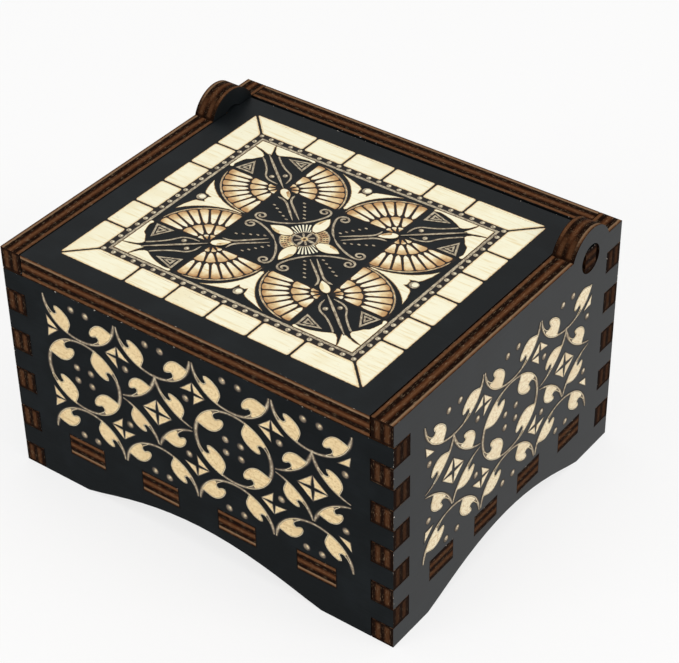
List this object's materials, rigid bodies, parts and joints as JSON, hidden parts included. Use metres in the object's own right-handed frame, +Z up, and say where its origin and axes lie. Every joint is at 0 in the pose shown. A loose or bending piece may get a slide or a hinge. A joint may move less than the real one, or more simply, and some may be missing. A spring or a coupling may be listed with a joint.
{
  "type": "music box",
  "caption": "Small painted plywood box with finger-jointed walls and an engraved hinged lid, holding a key-wound pinned cylinder and comb movement.",
  "frame": {"origin": "on the table, under the middle of the case", "axes": "+X to the right along the front, -Y out of the front wall, +Z up through the lid"},
  "size_m": [0.069, 0.057, 0.0433],
  "materials": {
    "painted_plywood": "satin",
    "zinc_casting": "satin",
    "brass": "satin",
    "steel": "satin",
    "spring_steel": "satin",
    "fly_plastic": "matte"
  },
  "bodies": {
    "root": {"front_wall": "painted_plywood", "back_wall": "painted_plywood", "left_wall": "painted_plywood", "right_wall": "painted_plywood", "floor_panel": "painted_plywood", "bedplate": "zinc_casting", "barrel_bridge": "steel", "governor_frame": "steel", "bed_screw_1": "steel", "bed_screw_2": "steel", "bed_screw_3": "steel", "bridge_screw_1": "steel", "bridge_screw_2": "steel", "governor_screw_1": "steel", "governor_screw_2": "steel", "comb": "steel", "comb_screw_1": "steel", "comb_screw_2": "steel", "click": "steel", "click_screw": "steel", "click_spring": "spring_steel", "click_spring_screw": "steel", "lever_pin": "steel"},
    "lid": {"lid": "painted_plywood"},
    "winding": {"winding_key": "brass", "winding_arbor": "steel", "ratchet_wheel": "steel"},
    "barrel": {"spring_barrel": "brass", "barrel_cover": "brass", "crown_wheel": "brass", "mainspring": "spring_steel"},
    "cylinder": {"cylinder": "brass", "cylinder_arbor": "steel", "great_wheel": "brass"},
    "governor": {"governor_arbor": "steel", "worm_wheel": "brass"},
    "worm": {"worm": "steel", "fly": "fly_plastic"},
    "lever": {"stop_lever": "spring_steel"}
  },
  "joints": [
    {"name": "lid_hinge", "type": "hinge", "parent": "root", "child": "lid", "pos_m": [0, 0.02, 0.03818], "axis": [-1, 0, 0], "range_deg": [0, 135]},
    {"name": "stop_lever_pivot", "type": "hinge", "parent": "root", "child": "lever", "pos_m": [0, 0.01659, 0.02522], "axis": [-1, 0, 0], "range_deg": [0, 8.8]},
    {"name": "key_winding", "type": "hinge", "parent": "root", "child": "winding", "pos_m": [-0.01556, 0.001, 0], "axis": [0, 0, 1], "continuous": true},
    {"name": "cylinder_turn", "type": "hinge", "parent": "root", "child": "cylinder", "pos_m": [0, 0.001, 0.02784], "axis": [1, 0, 0], "continuous": true},
    {"name": "barrel_turn", "type": "hinge", "parent": "root", "child": "barrel", "pos_m": [-0.01556, 0.001, 0], "axis": [0, 0, 1], "continuous": true},
    {"name": "governor_turn", "type": "hinge", "parent": "root", "child": "governor", "pos_m": [0, 0.00854, 0.02256], "axis": [1, 0, 0], "continuous": true},
    {"name": "fly_spin", "type": "hinge", "parent": "root", "child": "worm", "pos_m": [0.02454, 0.01434, 0], "axis": [0, 0, 1], "continuous": true}
  ],
  "couplings": [
    {"joint": "stop_lever_pivot", "follows": "lid_hinge", "ratio": 0.065},
    {"joint": "barrel_turn", "follows": "cylinder_turn", "ratio": 0.30556},
    {"joint": "governor_turn", "follows": "cylinder_turn", "ratio": -3.6},
    {"joint": "fly_spin", "follows": "cylinder_turn", "ratio": 79.2}
  ]
}
